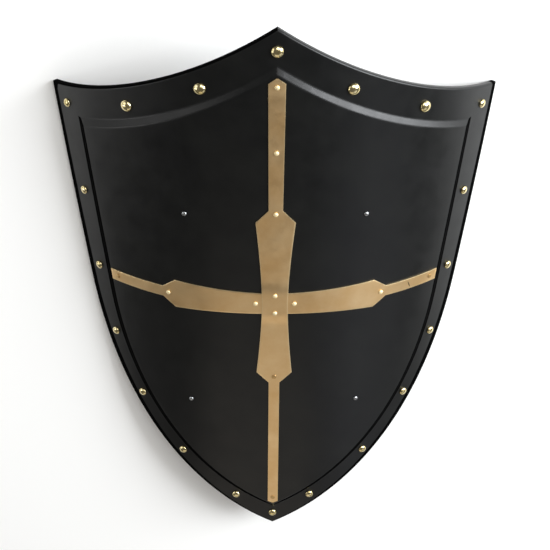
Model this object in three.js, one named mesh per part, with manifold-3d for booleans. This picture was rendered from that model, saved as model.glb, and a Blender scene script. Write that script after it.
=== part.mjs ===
// Heater shield: one bent and pressed steel sheet with a flat riveted border, a raised field, a riveted
// brass cross and two leather arm straps on its back.
// Millimetres, +Z up. The shield lies face up on its own bent edge, with its head towards +Y and its tip
// towards -Y, and its origin on the floor under the middle of its box.

import * as THREE from 'three';
import { mergeVertices } from 'three/addons/utils/BufferGeometryUtils.js';
import Module from 'manifold-3d';

// Driving sizes of the sheet. "Arc" is measured round the bend from the middle line, "along" from the tip
// towards the head, and "lift" outwards from the border's outer face.
const SHIELD_LENGTH = 711;
const BEND_RADIUS = 331;
const CORNER_ARC = 296;
const CORNER_BELOW_PEAK = 117;
const HEAD_HOLLOW = 16.5;
const FLANK_LEAN = THREE.MathUtils.degToRad(10.4);
const FLANK_LENGTH = 252;
const SHEET_THICKNESS = 1.2;
const EDGE_BEND_RADIUS = 2.6;
const EDGE_DEPTH = 7;

// Driving sizes of the raised field, as margins from the sheet's own outline
const FIELD_RISE = 4;
const BEVEL_RUN = 7;
const FIELD_BELOW_PEAK = 50;
const FIELD_CORNER_IN = 57.5;
const FIELD_CORNER_DOWN = 35;
const FIELD_ABOVE_TIP = 39;
const FIELD_HEAD_HOLLOW = 11.5;
const FIELD_FLANK_LEAN = THREE.MathUtils.degToRad(8);
const FIELD_FLANK_LENGTH = 220;

// Driving sizes of the brass cross
const BRASS_THICKNESS = 1;
const CROSSING_ALONG = 367.7;
const CROSS_END_GAP = 3.5;
const UPRIGHT_BLADE_UP = 112;
const UPRIGHT_BLADE_DOWN = 103.5;
const UPRIGHT_BLADE_TOP_WIDTH = 45;
const UPRIGHT_BLADE_FOOT_WIDTH = 42.5;
const UPRIGHT_WAIST_WIDTH = 29.8;
const UPRIGHT_STRAP_TOP_WIDTH = 18.5;
const UPRIGHT_STRAP_NECK_WIDTH = 16;
const UPRIGHT_TAIL_WIDTH = 13;
const UPRIGHT_POINT_LENGTH = 6;
const UPRIGHT_POINT_WIDTH = 2;
const BAR_BLADE_REACH = 119;
const BAR_BLADE_WIDTH = 39;
const BAR_WAIST_WIDTH = 29;
const BAR_STRAP_WIDTH = 14.5;
const NECK_LENGTH = 16;
const HUMP_RAMP = 14;

// Driving sizes of the rivets. The rim rivets stand on the border's middle line: the head's at shares of
// the corner rivet's arc, and the flank's at shares of the drop from the corner rivet to the tip rivet.
// The corner, flank and tip rivets are smaller than those along the head.
const HEAD_RIVET_DIAMETER = 14;
const HEAD_RIVET_DOME = 4.6;
const FLANK_RIVET_DIAMETER = 10.5;
const FLANK_RIVET_DOME = 3.3;
const RIM_RIVET_SHANK = 4;
const HEAD_RIVET_SHARES = [0.31, 0.645];
const FLANK_RIVET_SHARES = [0, 0.195, 0.375, 0.54, 0.69, 0.83, 0.945];
const SMALL_RIVET_DIAMETER = 5.8;
const SMALL_RIVET_DOME = 2;
const FLUSH_RIVET_DOME = 0.7;
const SMALL_RIVET_SHANK = 2.6;
const RIVET_TAIL_DIAMETER = 7;
const RIVET_TAIL_THICKNESS = 1.2;
const CENTRE_RIVETS_APART = 25;
const CENTRE_RIVET_ARC = 22.5;
const END_RIVET_INSET = 10;
const SHOULDER_RIVET_INSET = 9;

// Driving sizes of the arm straps
const STRAP_ARC = 104;
const STRAP_TOP_ALONG = 482;
const STRAP_FOOT_ALONG = 208.5;
const STRAP_WIDTH = 30;
const STRAP_THICKNESS = 3;
const STRAP_TAB = 15;
const STRAP_BOW = 46;
const STRAP_WASHER_DIAMETER = 11;

// Clearance between touching pieces, and how finely round stretches are divided
const FIT = 0.3;
const ROUND_STEPS = 17;
const FLANK_STEPS = 3;
const BLADE_STEPS = 4;
const BAR_STEPS = 16;
const STRAP_STEPS = 20;
const RIM_DOME_STEPS = 3;
const SMALL_DOME_STEPS = 2;
const RIVET_SIDES = 8;
const DRILL_LENGTH = 40;

// Heights that follow from the driving sizes
const FIELD_BACK = FIELD_RISE - SHEET_THICKNESS;
const BRASS_SEAT = FIELD_RISE + FIT;
const BRASS_FACE = BRASS_SEAT + BRASS_THICKNESS;
const HUMP_LIFT = BRASS_THICKNESS + FIT;

const wasm = await Module();
wasm.setup();

// A point of the bent sheet
function bend(arc, along, lift) {
  const angle = arc / BEND_RADIUS;
  const radius = BEND_RADIUS + lift;
  return new THREE.Vector3(radius * Math.sin(angle), along, radius * Math.cos(angle) - BEND_RADIUS);
}

// The place of a piece that stands square on the bent sheet
function placement(arc, along) {
  const turn = new THREE.Matrix4().makeRotationY(arc / BEND_RADIUS);
  return turn.setPosition(bend(arc, along, 0));
}

// The lower side of a circle, as its height over x
class LowRound {
  constructor(centre, radius) {
    this.centre = centre;
    this.radius = radius;
  }

  heightAt(x) {
    return this.centre.y - Math.sqrt(this.radius ** 2 - (x - this.centre.x) ** 2);
  }

  angleOf(point) {
    return Math.atan2(point.y - this.centre.y, point.x - this.centre.x);
  }

  pointAt(angle) {
    const x = this.centre.x + this.radius * Math.cos(angle);
    return new THREE.Vector2(x, this.centre.y + this.radius * Math.sin(angle));
  }
}

// The hollow round that hangs below the straight line from the peak to a corner
function hollowRound(peak, corner, hollow) {
  const middle = peak.clone().add(corner).multiplyScalar(0.5);
  const half = peak.distanceTo(corner) / 2;
  const radius = (half ** 2 + hollow ** 2) / (2 * hollow);
  const upward = new THREE.Vector2(peak.y - corner.y, corner.x - peak.x).normalize();
  return new LowRound(middle.addScaledVector(upward, radius - hollow), radius);
}

// The round that leaves the flank smoothly and runs to the tip
function tipRound(flankEnd, lean, tip) {
  const inward = new THREE.Vector2(-Math.cos(lean), Math.sin(lean));
  const toTip = tip.clone().sub(flankEnd);
  const radius = toTip.lengthSq() / (2 * toTip.dot(inward));
  return new LowRound(flankEnd.clone().addScaledVector(inward, radius), radius);
}

// One half of a shield outline, in arc and along: a hollow head edge, a straight flank, a round to the tip
class HalfOutline {
  constructor({ peak, corner, tip, hollow, lean, flankLength }) {
    Object.assign(this, { peak, corner, tip, hollow, lean, flankLength });
    const flank = new THREE.Vector2(-Math.sin(lean), -Math.cos(lean));
    this.flankEnd = corner.clone().addScaledVector(flank, flankLength);
    this.head = hollowRound(peak, corner, hollow);
    this.round = tipRound(this.flankEnd, lean, tip);
  }

  // The outline halfway between this one and another
  halfwayTo(other) {
    return new HalfOutline({
      peak: this.peak.clone().lerp(other.peak, 0.5),
      corner: this.corner.clone().lerp(other.corner, 0.5),
      tip: this.tip.clone().lerp(other.tip, 0.5),
      hollow: (this.hollow + other.hollow) / 2,
      lean: (this.lean + other.lean) / 2,
      flankLength: (this.flankLength + other.flankLength) / 2,
    });
  }

  // Points from the tip up to the corner, evenly spaced on the round and on the flank
  side() {
    const start = this.round.angleOf(this.tip);
    const sweep = this.round.angleOf(this.flankEnd) - start;
    const points = [this.tip.clone()];
    for (let i = 1; i < ROUND_STEPS; i += 1) {
      points.push(this.round.pointAt(start + sweep * i / ROUND_STEPS));
    }
    for (let i = 0; i <= FLANK_STEPS; i += 1) {
      points.push(this.flankEnd.clone().lerp(this.corner, i / FLANK_STEPS));
    }
    return points;
  }

  headPoint(arc) {
    return new THREE.Vector2(arc, this.head.heightAt(arc));
  }

  // The side's arc at a height along the shield
  sideArc(along) {
    const { centre, radius } = this.round;
    if (along < this.flankEnd.y) {
      return centre.x + Math.sqrt(radius ** 2 - (along - centre.y) ** 2);
    }
    const share = (along - this.flankEnd.y) / (this.corner.y - this.flankEnd.y);
    return THREE.MathUtils.lerp(this.flankEnd.x, this.corner.x, share);
  }
}

const cornerAlong = SHIELD_LENGTH - CORNER_BELOW_PEAK;
const sheetOutline = new HalfOutline({
  peak: new THREE.Vector2(0, SHIELD_LENGTH),
  corner: new THREE.Vector2(CORNER_ARC, cornerAlong),
  tip: new THREE.Vector2(0, 0),
  hollow: HEAD_HOLLOW,
  lean: FLANK_LEAN,
  flankLength: FLANK_LENGTH,
});
const fieldOutline = new HalfOutline({
  peak: new THREE.Vector2(0, SHIELD_LENGTH - FIELD_BELOW_PEAK),
  corner: new THREE.Vector2(CORNER_ARC - FIELD_CORNER_IN, cornerAlong - FIELD_CORNER_DOWN),
  tip: new THREE.Vector2(0, FIELD_ABOVE_TIP),
  hollow: FIELD_HEAD_HOLLOW,
  lean: FIELD_FLANK_LEAN,
  flankLength: FIELD_FLANK_LENGTH,
});
const borderMiddle = sheetOutline.halfwayTo(fieldOutline);

// A whole outline as a ring of points, clockwise from the peak. The head's points stand at the shares of
// the corner's arc that the field's side has, so that the field divides into strips along the shield.
const SIDE_STEPS = ROUND_STEPS + FLANK_STEPS;
const headShares = fieldOutline.side().map((point) => point.x / fieldOutline.corner.x);

function ringOf(outline) {
  const head = headShares.map((share) => outline.headPoint(share * outline.corner.x));
  const right = [...head, ...outline.side().slice(0, -1).reverse()];
  const left = right.slice(1, -1).reverse().map((point) => new THREE.Vector2(-point.x, point.y));
  return [...right, ...left];
}

// A ring moved outwards, with sharp corners kept sharp
function offsetRing(points, distance) {
  const count = points.length;
  return points.map((point, i) => {
    const into = point.clone().sub(points[(i + count - 1) % count]).normalize();
    const out = points[(i + 1) % count].clone().sub(point).normalize();
    const normal = new THREE.Vector2(-into.y - out.y, into.x + out.x).normalize();
    const stretch = 1 / normal.dot(new THREE.Vector2(-into.y, into.x));
    return point.clone().addScaledVector(normal, distance * stretch);
  });
}

// A closed mesh from shared points and triangles
function closedMesh(points, triangles) {
  const geometry = new THREE.BufferGeometry().setFromPoints(points);
  geometry.setIndex(triangles.flat());
  return geometry;
}

// The sheet's section, as rings with a distance out from their outline and a lift: over the front from the
// field to the lip of the turned-back edge, and back beneath
function sheetProfile(field, middle, outer) {
  const innerRadius = EDGE_BEND_RADIUS - SHEET_THICKNESS;
  const outerTurn = EDGE_BEND_RADIUS * (Math.SQRT1_2 - 1);
  const innerTurn = innerRadius * Math.SQRT1_2 - EDGE_BEND_RADIUS;
  const bevelShift = SHEET_THICKNESS * Math.tan(Math.atan2(FIELD_RISE, BEVEL_RUN) / 2);
  return [
    [field, 0, FIELD_RISE],
    [field, BEVEL_RUN, 0],
    [middle, 0, 0],
    [outer, -EDGE_BEND_RADIUS, 0],
    [outer, outerTurn, outerTurn],
    [outer, 0, -EDGE_BEND_RADIUS],
    [outer, 0, -EDGE_DEPTH],
    [outer, -SHEET_THICKNESS, -EDGE_DEPTH],
    [outer, -SHEET_THICKNESS, -EDGE_BEND_RADIUS],
    [outer, innerTurn, innerTurn],
    [outer, -EDGE_BEND_RADIUS, -SHEET_THICKNESS],
    [middle, 0, -SHEET_THICKNESS],
    [field, BEVEL_RUN - bevelShift, -SHEET_THICKNESS],
    [field, -bevelShift, FIELD_BACK],
  ];
}

// The triangles between the rings of a section, each ring outside the one before it. Each four-cornered
// patch is parted across its shorter diagonal, which stays closer to the bend.
function bandTriangles(rings) {
  const count = rings[0].length;
  const triangles = [];
  for (let r = 0; r + 1 < rings.length; r += 1) {
    const [inner, outer] = [rings[r], rings[r + 1]];
    for (let i = 0; i < count; i += 1) {
      const next = (i + 1) % count;
      const [a, b, c, d] = [r * count + i, r * count + next, (r + 1) * count + i, (r + 1) * count + next];
      if (inner[i].distanceTo(outer[next]) < inner[next].distanceTo(outer[i])) {
        triangles.push([a, b, d], [a, d, c]);
      } else {
        triangles.push([a, b, c], [b, d, c]);
      }
    }
  }
  return triangles;
}

// The triangles inside a ring: strips that run along the shield, where the bend is straight
function fieldTriangles(pointCount) {
  const tip = 2 * SIDE_STEPS;
  const right = [];
  for (let i = 0; i < SIDE_STEPS; i += 1) {
    right.push([i, tip - i, i + 1]);
    if (i + 1 < SIDE_STEPS) {
      right.push([i + 1, tip - i, tip - i - 1]);
    }
  }
  const mirrored = (i) => (pointCount - i) % pointCount;
  const left = right.map(([a, b, c]) => [mirrored(a), mirrored(c), mirrored(b)]);
  return [...right, ...left];
}

function sheetGeometry() {
  const profile = sheetProfile(ringOf(fieldOutline), ringOf(borderMiddle), ringOf(sheetOutline));
  const rings = profile.map(([outline, distance, lift]) => (
    offsetRing(outline, distance).map((point) => bend(point.x, point.y, lift))
  ));
  const pointCount = rings[0].length;
  const lastRing = (rings.length - 1) * pointCount;
  const front = fieldTriangles(pointCount);
  const back = front.map(([a, b, c]) => [lastRing + a, lastRing + c, lastRing + b]);
  return closedMesh(rings.flat(), [...bandTriangles(rings), ...front, ...back]);
}

// A thin solid between a front and a back grid of points, with its rows across and its columns upwards
function gridSolid(front, back) {
  const rows = front.length;
  const last = front[0].length - 1;
  const at = (face, row, column) => (face * rows + row) * (last + 1) + column;
  const triangles = [];
  const quad = (a, b, c, d) => triangles.push([a, b, c], [a, c, d]);
  for (let i = 0; i + 1 < rows; i += 1) {
    for (let j = 0; j < last; j += 1) {
      quad(at(0, i, j), at(0, i, j + 1), at(0, i + 1, j + 1), at(0, i + 1, j));
      quad(at(1, i, j), at(1, i + 1, j), at(1, i + 1, j + 1), at(1, i, j + 1));
    }
    quad(at(1, i, 0), at(0, i, 0), at(0, i + 1, 0), at(1, i + 1, 0));
    quad(at(0, i, last), at(1, i, last), at(1, i + 1, last), at(0, i + 1, last));
  }
  for (let j = 0; j < last; j += 1) {
    quad(at(1, 0, j), at(1, 0, j + 1), at(0, 0, j + 1), at(0, 0, j));
    quad(at(0, rows - 1, j), at(0, rows - 1, j + 1), at(1, rows - 1, j + 1), at(1, rows - 1, j));
  }
  return closedMesh([...front.flat(), ...back.flat()], triangles);
}

// A brass strip laid on the field, from rows of a left point, a right point and a hump over what is beneath
function brassStrip(rows, columns) {
  const face = (lift) => rows.map(({ left, right, hump }) => (
    Array.from({ length: columns + 1 }, (_, j) => {
      const point = left.clone().lerp(right, j / columns);
      return bend(point.x, point.y, lift + hump);
    })
  ));
  return gridSolid(face(BRASS_FACE), face(BRASS_SEAT));
}

// Knots of a waisted blade's edge, as a distance from the waist and a half width
function bladeKnots(reach, waistWidth, shoulderWidth) {
  return Array.from({ length: BLADE_STEPS + 1 }, (_, i) => {
    const share = i / BLADE_STEPS;
    return [reach * share, THREE.MathUtils.lerp(waistWidth, shoulderWidth, share ** 1.6) / 2];
  });
}

// The half width between knots, which are in rising order
function widthAt(knots, place) {
  const above = Math.max(knots.findIndex(([knot]) => knot >= place), 1);
  const [low, high] = [knots[above - 1], knots[above]];
  return THREE.MathUtils.mapLinear(place, low[0], high[0], low[1], high[1]);
}

const uprightTop = fieldOutline.peak.y - CROSS_END_GAP;
const uprightFoot = fieldOutline.tip.y + CROSS_END_GAP;
const humpEnd = BAR_WAIST_WIDTH / 2 + FIT + BRASS_THICKNESS;

// The upright: a strap with a house-shaped top, a waisted blade, and a slim pointed tail
function uprightGeometry() {
  const upper = bladeKnots(UPRIGHT_BLADE_UP, UPRIGHT_WAIST_WIDTH, UPRIGHT_BLADE_TOP_WIDTH);
  const lower = bladeKnots(UPRIGHT_BLADE_DOWN, UPRIGHT_WAIST_WIDTH, UPRIGHT_BLADE_FOOT_WIDTH);
  const knots = [
    [uprightFoot, UPRIGHT_POINT_WIDTH / 2],
    [uprightFoot + UPRIGHT_POINT_LENGTH / 2, UPRIGHT_TAIL_WIDTH / 2],
    [CROSSING_ALONG - UPRIGHT_BLADE_DOWN - NECK_LENGTH, UPRIGHT_TAIL_WIDTH / 2],
    ...lower.slice(1).reverse().map(([distance, half]) => [CROSSING_ALONG - distance, half]),
    ...upper.map(([distance, half]) => [CROSSING_ALONG + distance, half]),
    [CROSSING_ALONG + UPRIGHT_BLADE_UP + NECK_LENGTH, UPRIGHT_STRAP_NECK_WIDTH / 2],
    [uprightTop - UPRIGHT_POINT_LENGTH, UPRIGHT_STRAP_TOP_WIDTH / 2],
    [uprightTop, UPRIGHT_POINT_WIDTH / 2],
  ];
  const humpPlaces = [-humpEnd - HUMP_RAMP, -humpEnd, humpEnd, humpEnd + HUMP_RAMP];
  const places = knots.map(([place]) => place);
  places.push(...humpPlaces.map((step) => CROSSING_ALONG + step));
  places.sort((a, b) => a - b);
  const rows = places.map((along) => {
    const half = widthAt(knots, along);
    const pastHump = Math.abs(along - CROSSING_ALONG) - humpEnd;
    const hump = HUMP_LIFT * (1 - THREE.MathUtils.clamp(pastHump / HUMP_RAMP, 0, 1));
    return { left: new THREE.Vector2(-half, along), right: new THREE.Vector2(half, along), hump };
  });
  return brassStrip(rows, 4);
}

// The bar: a waisted blade with a strap at each end, cut off along the field's edge
function barEndArc(along) {
  return fieldOutline.sideArc(along) - CROSS_END_GAP;
}

function barGeometry() {
  const blade = bladeKnots(BAR_BLADE_REACH, BAR_WAIST_WIDTH, BAR_BLADE_WIDTH);
  const halfStrap = BAR_STRAP_WIDTH / 2;
  const neck = BAR_BLADE_REACH + NECK_LENGTH;
  const knots = [...blade, [neck, halfStrap], [barEndArc(CROSSING_ALONG), halfStrap]];
  const places = knots.slice(0, -1).map(([place]) => place);
  for (let i = 1; i < BAR_STEPS; i += 1) {
    places.push(barEndArc(CROSSING_ALONG - halfStrap) * i / BAR_STEPS);
  }
  places.sort((a, b) => a - b);
  const rightRows = places.map((arc) => [arc, widthAt(knots, arc)]);
  const leftRows = rightRows.slice(1).reverse().map(([arc, half]) => [-arc, half]);
  const rows = [...leftRows, ...rightRows].map(([arc, half]) => ({
    left: new THREE.Vector2(arc, CROSSING_ALONG + half),
    right: new THREE.Vector2(arc, CROSSING_ALONG - half),
    hump: 0,
  }));
  const endRow = (side) => ({
    left: new THREE.Vector2(side * barEndArc(CROSSING_ALONG + halfStrap), CROSSING_ALONG + halfStrap),
    right: new THREE.Vector2(side * barEndArc(CROSSING_ALONG - halfStrap), CROSSING_ALONG - halfStrap),
    hump: 0,
  });
  return brassStrip([endRow(-1), ...rows, endRow(1)], 1);
}

// A rivet as one turned solid: a domed head on its seat, a shank, and a flat tail beneath what it holds
function rivetGeometry({ diameter, dome, domeSteps, shank, seat, grip, tail }) {
  const tailTop = seat - grip - FIT;
  const profile = [
    [0, tailTop - RIVET_TAIL_THICKNESS],
    [tail / 2, tailTop - RIVET_TAIL_THICKNESS],
    [tail / 2, tailTop],
    [shank / 2, tailTop],
    [shank / 2, seat + FIT],
  ];
  for (let i = 0; i < domeSteps; i += 1) {
    const angle = Math.PI / 2 * i / domeSteps;
    profile.push([diameter / 2 * Math.cos(angle), seat + FIT + dome * Math.sin(angle)]);
  }
  profile.push([0, seat + FIT + dome]);
  const points = profile.map(([radius, height]) => new THREE.Vector2(radius, height));
  return new THREE.LatheGeometry(points, RIVET_SIDES).rotateX(Math.PI / 2);
}

// A leather strap that lies flat at both ends and bows away from the sheet between them
const strapDip = BEND_RADIUS - Math.sqrt(BEND_RADIUS ** 2 - (STRAP_WIDTH / 2) ** 2);
const strapSeat = FIELD_BACK - FIT - strapDip;

function strapGeometry() {
  const start = STRAP_FOOT_ALONG + STRAP_TAB;
  const end = STRAP_TOP_ALONG - STRAP_TAB;
  const front = [new THREE.Vector2(STRAP_FOOT_ALONG - STRAP_TAB, strapSeat)];
  for (let i = 0; i <= STRAP_STEPS; i += 1) {
    const share = i / STRAP_STEPS;
    const bow = STRAP_BOW * Math.sin(Math.PI * share) ** 2;
    front.push(new THREE.Vector2(THREE.MathUtils.lerp(start, end, share), strapSeat - bow));
  }
  front.push(new THREE.Vector2(STRAP_TOP_ALONG + STRAP_TAB, strapSeat));
  const back = front.map((point, i) => {
    const next = front[Math.min(i + 1, front.length - 1)];
    const direction = next.clone().sub(front[Math.max(i - 1, 0)]).normalize();
    return new THREE.Vector2(direction.y, -direction.x).multiplyScalar(STRAP_THICKNESS).add(point);
  });
  const shape = new THREE.Shape([...back, ...front.reverse()]);
  const geometry = new THREE.ExtrudeGeometry(shape, { depth: STRAP_WIDTH, steps: 1, bevelEnabled: false });
  geometry.translate(0, 0, -STRAP_WIDTH / 2);
  const upward = new THREE.Vector3(0, 1, 0);
  const outward = new THREE.Vector3(0, 0, 1);
  const across = new THREE.Vector3(1, 0, 0);
  return geometry.applyMatrix4(new THREE.Matrix4().makeBasis(upward, outward, across));
}

// Solids for cutting
function solidOf(geometry) {
  const bare = geometry.index ? geometry.toNonIndexed() : geometry.clone();
  const whole = mergeVertices(new THREE.BufferGeometry().setAttribute('position', bare.attributes.position));
  return new wasm.Manifold(new wasm.Mesh({
    numProp: 3,
    vertProperties: new Float32Array(whole.attributes.position.array),
    triVerts: new Uint32Array(whole.index.array),
  }));
}

function geometryOf(solid) {
  const { vertProperties, triVerts } = solid.getMesh();
  const geometry = new THREE.BufferGeometry();
  geometry.setAttribute('position', new THREE.BufferAttribute(vertProperties, 3));
  geometry.setIndex(new THREE.BufferAttribute(triVerts, 1));
  return geometry;
}

// A piece with a clearance hole at each rivet that passes through it
function drilled(geometry, rivets, place = ({ arc, along }) => placement(arc, along)) {
  let solid = solidOf(geometry);
  rivets.forEach((rivet) => {
    const radius = rivet.shank / 2 + FIT;
    const drill = new THREE.CylinderGeometry(radius, radius, DRILL_LENGTH, RIVET_SIDES);
    drill.rotateX(Math.PI / 2).applyMatrix4(place(rivet));
    solid = solid.subtract(solidOf(drill));
  });
  return geometryOf(solid);
}

// The rivets, by kind
function rimRivets() {
  const large = {
    diameter: HEAD_RIVET_DIAMETER,
    dome: HEAD_RIVET_DOME,
    domeSteps: RIM_DOME_STEPS,
    shank: RIM_RIVET_SHANK,
    tail: RIVET_TAIL_DIAMETER,
    seat: 0,
    grip: SHEET_THICKNESS,
    material: 'rimBrass',
  };
  const small = { ...large, diameter: FLANK_RIVET_DIAMETER, dome: FLANK_RIVET_DOME };
  const rivets = [
    { ...large, name: 'rim_rivet_peak', arc: 0, along: borderMiddle.peak.y },
    { ...small, name: 'rim_rivet_tip', arc: 0, along: borderMiddle.tip.y },
  ];
  [['left', -1], ['right', 1]].forEach(([hand, side]) => {
    HEAD_RIVET_SHARES.forEach((share, i) => {
      const { x, y } = borderMiddle.headPoint(share * borderMiddle.corner.x);
      rivets.push({ ...large, name: `rim_rivet_head_${hand}_${i + 1}`, arc: side * x, along: y });
    });
    FLANK_RIVET_SHARES.forEach((share, i) => {
      const along = THREE.MathUtils.lerp(borderMiddle.corner.y, borderMiddle.tip.y, share);
      const arc = side * borderMiddle.sideArc(along);
      rivets.push({ ...small, name: `rim_rivet_flank_${hand}_${i + 1}`, arc, along });
    });
  });
  return rivets;
}

function crossRivets() {
  const domed = {
    diameter: SMALL_RIVET_DIAMETER,
    dome: SMALL_RIVET_DOME,
    domeSteps: SMALL_DOME_STEPS,
    shank: SMALL_RIVET_SHANK,
    tail: RIVET_TAIL_DIAMETER,
    seat: BRASS_FACE,
    grip: BRASS_FACE - FIELD_BACK,
    material: 'crossBrass',
    arc: 0,
    along: CROSSING_ALONG,
  };
  const flush = { ...domed, dome: FLUSH_RIVET_DOME };
  const humped = { ...domed, seat: BRASS_FACE + HUMP_LIFT, grip: domed.grip + HUMP_LIFT };
  const shoulder = CROSSING_ALONG + UPRIGHT_BLADE_UP + NECK_LENGTH - SHOULDER_RIVET_INSET / 2;
  const topEnd = uprightTop - END_RIVET_INSET;
  const lowerNeck = CROSSING_ALONG - UPRIGHT_BLADE_DOWN - NECK_LENGTH + SHOULDER_RIVET_INSET;
  const upright = [
    { ...domed, name: 'cross_rivet_head', along: topEnd },
    { ...domed, name: 'cross_rivet_strap', along: (topEnd + shoulder) / 2 },
    { ...domed, name: 'cross_rivet_shoulder', along: shoulder },
    { ...flush, name: 'cross_rivet_lower_neck', along: lowerNeck },
    { ...flush, name: 'cross_rivet_tail', along: uprightFoot + END_RIVET_INSET },
  ];
  const both = [
    { ...humped, name: 'cross_rivet_centre_upper', along: CROSSING_ALONG + CENTRE_RIVETS_APART / 2 },
    { ...humped, name: 'cross_rivet_centre_lower', along: CROSSING_ALONG - CENTRE_RIVETS_APART / 2 },
  ];
  const neckArc = BAR_BLADE_REACH + SHOULDER_RIVET_INSET;
  const endArc = barEndArc(CROSSING_ALONG) - END_RIVET_INSET;
  const bar = [['left', -1], ['right', 1]].flatMap(([hand, side]) => [
    { ...domed, name: `cross_rivet_centre_${hand}`, arc: side * CENTRE_RIVET_ARC },
    { ...domed, name: `cross_rivet_neck_${hand}`, arc: side * neckArc },
    { ...flush, name: `cross_rivet_end_${hand}`, arc: side * endArc },
  ]);
  return { upright, both, bar };
}

function strapRivets() {
  const kind = {
    diameter: SMALL_RIVET_DIAMETER,
    dome: SMALL_RIVET_DOME,
    domeSteps: SMALL_DOME_STEPS,
    shank: SMALL_RIVET_SHANK,
    tail: STRAP_WASHER_DIAMETER,
    seat: FIELD_RISE,
    grip: FIELD_RISE - strapSeat + STRAP_THICKNESS,
    material: 'steel',
  };
  return [['left', -1], ['right', 1]].flatMap(([hand, side]) => [
    { ...kind, name: `strap_rivet_upper_${hand}`, arc: side * STRAP_ARC, along: STRAP_TOP_ALONG },
    { ...kind, name: `strap_rivet_lower_${hand}`, arc: side * STRAP_ARC, along: STRAP_FOOT_ALONG },
  ]);
}

// Finishes
const finishes = {
  paint: new THREE.MeshStandardMaterial({ color: 0x1d1e20, roughness: 0.42, metalness: 0.1 }),
  crossBrass: new THREE.MeshStandardMaterial({ color: 0xb0915c, roughness: 0.38, metalness: 0.9 }),
  rimBrass: new THREE.MeshStandardMaterial({ color: 0xd2c084, roughness: 0.22, metalness: 1 }),
  steel: new THREE.MeshStandardMaterial({ color: 0xb9bdc0, roughness: 0.3, metalness: 1 }),
  leather: new THREE.MeshStandardMaterial({ color: 0x4a2f1d, roughness: 0.7, metalness: 0 }),
};

function named(name, geometry, finish) {
  const piece = new THREE.Mesh(geometry, finishes[finish]);
  piece.name = name;
  return piece;
}

// The tilt at which the shield lies on its own edge: it levels the side of the sheet's lower hull, seen
// from the flank, that is beneath the sheet's balance point
function restingTilt(geometry) {
  const flat = geometry.toNonIndexed().attributes.position;
  const corner = (i) => new THREE.Vector3().fromBufferAttribute(flat, i);
  let area = 0;
  let moment = 0;
  const profile = [];
  for (let i = 0; i < flat.count; i += 3) {
    const triangle = new THREE.Triangle(corner(i), corner(i + 1), corner(i + 2));
    const share = triangle.getArea();
    area += share;
    moment += share * triangle.getMidpoint(new THREE.Vector3()).y;
    profile.push(...[triangle.a, triangle.b, triangle.c].map(({ y, z }) => new THREE.Vector2(y, z)));
  }
  const balance = moment / area;
  profile.sort((p, q) => p.x - q.x || q.y - p.y);
  const hull = [];
  profile.forEach((point) => {
    while (hull.length > 1) {
      const [before, last] = hull.slice(-2);
      if (last.clone().sub(before).cross(point.clone().sub(last)) > 0) {
        break;
      }
      hull.pop();
    }
    hull.push(point);
  });
  const beyond = hull.findIndex((point) => point.x > balance);
  const edge = hull[beyond].clone().sub(hull[beyond - 1]);
  return -Math.atan2(edge.y, edge.x);
}

// The pieces
const rim = rimRivets();
const cross = crossRivets();
const strapFasteners = strapRivets();
const rivets = [...rim, ...cross.upright, ...cross.both, ...cross.bar, ...strapFasteners];
const sheet = drilled(sheetGeometry(), rivets);
const bar = drilled(barGeometry(), [...cross.both, ...cross.bar]);
const upright = drilled(uprightGeometry(), [...cross.both, ...cross.upright]);

const shield = new THREE.Group();
shield.add(named('shield_plate', sheet, 'paint'));
shield.add(named('cross_bar', bar, 'crossBrass'));
shield.add(named('cross_upright', upright, 'crossBrass'));
rivets.forEach((rivet) => {
  const piece = named(rivet.name, rivetGeometry(rivet), rivet.material);
  piece.applyMatrix4(placement(rivet.arc, rivet.along));
  shield.add(piece);
});
[['left', -1], ['right', 1]].forEach(([hand, side]) => {
  const holes = strapFasteners.filter(({ arc }) => Math.sign(arc) === side);
  const flatPlace = ({ along }) => new THREE.Matrix4().makeTranslation(0, along, 0);
  const strap = named(`arm_strap_${hand}`, drilled(strapGeometry(), holes, flatPlace), 'leather');
  strap.applyMatrix4(placement(side * STRAP_ARC, 0));
  shield.add(strap);
});

// Laid face up on the floor, with the origin under the middle of its box
shield.rotation.x = restingTilt(sheet);
shield.updateMatrixWorld(true);
const box = new THREE.Box3().setFromObject(shield, true);
const middle = box.getCenter(new THREE.Vector3());
shield.position.set(-middle.x, -middle.y, -box.min.z);

const lyingShield = new THREE.Group();
lyingShield.add(shield);

export default lyingShield;
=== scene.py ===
"""Looks of a heater shield that lies face up on a pale floor.

Sizes in the classes are millimetres on the flattened sheet. Arc runs round the bend from the middle
line, along runs from the tip to the head, and lift stands outwards from the border's face.
"""

import logging
import math
from dataclasses import dataclass, field, replace
from enum import Enum

import bmesh
import bpy
from mathutils import Matrix, Vector


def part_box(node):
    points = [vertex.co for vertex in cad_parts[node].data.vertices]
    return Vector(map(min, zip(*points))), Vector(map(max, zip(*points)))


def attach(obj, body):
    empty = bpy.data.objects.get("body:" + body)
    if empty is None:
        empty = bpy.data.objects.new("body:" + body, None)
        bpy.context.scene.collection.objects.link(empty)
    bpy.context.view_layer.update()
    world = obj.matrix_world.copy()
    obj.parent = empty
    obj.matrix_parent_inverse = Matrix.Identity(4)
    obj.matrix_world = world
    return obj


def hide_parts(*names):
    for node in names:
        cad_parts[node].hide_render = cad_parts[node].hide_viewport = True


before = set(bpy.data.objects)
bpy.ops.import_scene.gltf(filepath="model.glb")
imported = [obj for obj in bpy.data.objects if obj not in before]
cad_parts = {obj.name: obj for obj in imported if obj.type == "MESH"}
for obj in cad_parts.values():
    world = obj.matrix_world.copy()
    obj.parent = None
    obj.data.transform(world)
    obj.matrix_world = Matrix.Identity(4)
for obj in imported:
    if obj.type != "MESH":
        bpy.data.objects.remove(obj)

LOG = logging.getLogger("shield")
MM = 0.001
FIT = 0.3
MERGE = 0.01
SNAP = 0.001
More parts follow.
